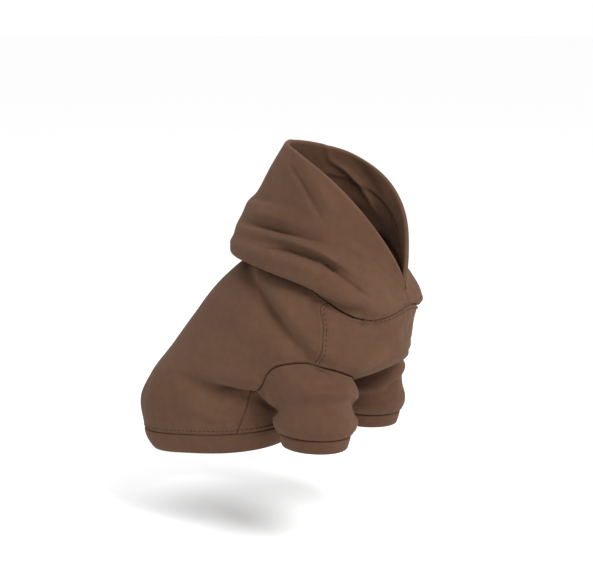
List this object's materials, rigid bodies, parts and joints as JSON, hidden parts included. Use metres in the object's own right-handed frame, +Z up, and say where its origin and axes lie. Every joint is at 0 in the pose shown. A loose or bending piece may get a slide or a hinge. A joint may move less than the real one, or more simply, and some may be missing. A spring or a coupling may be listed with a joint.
{
  "type": "dog hoodie",
  "caption": "Plain pull-on hooded sweatshirt for a small dog, in the form it has when worn sitting, with short cuffed sleeves and a ribbed hem band.",
  "frame": {"origin": "the middle of the neck seam, where the dog's neck holds the garment up", "axes": "+Z up, -Y the way the dog faces, +X its left"},
  "size_m": [0.1412, 0.2366, 0.2556],
  "materials": {
    "fleece": "brown sweatshirt fleece with a smooth matt face",
    "rib_knit": "brown matt knit band, folded double"
  },
  "bodies": {
    "root": {"back_panel": "fleece", "chest_panel": "fleece", "hood_right": "fleece", "hood_left": "fleece", "sleeve_right": "fleece", "sleeve_left": "fleece", "cuff_right": "rib_knit", "cuff_left": "rib_knit", "hem_band": "rib_knit"}
  },
  "joints": []
}
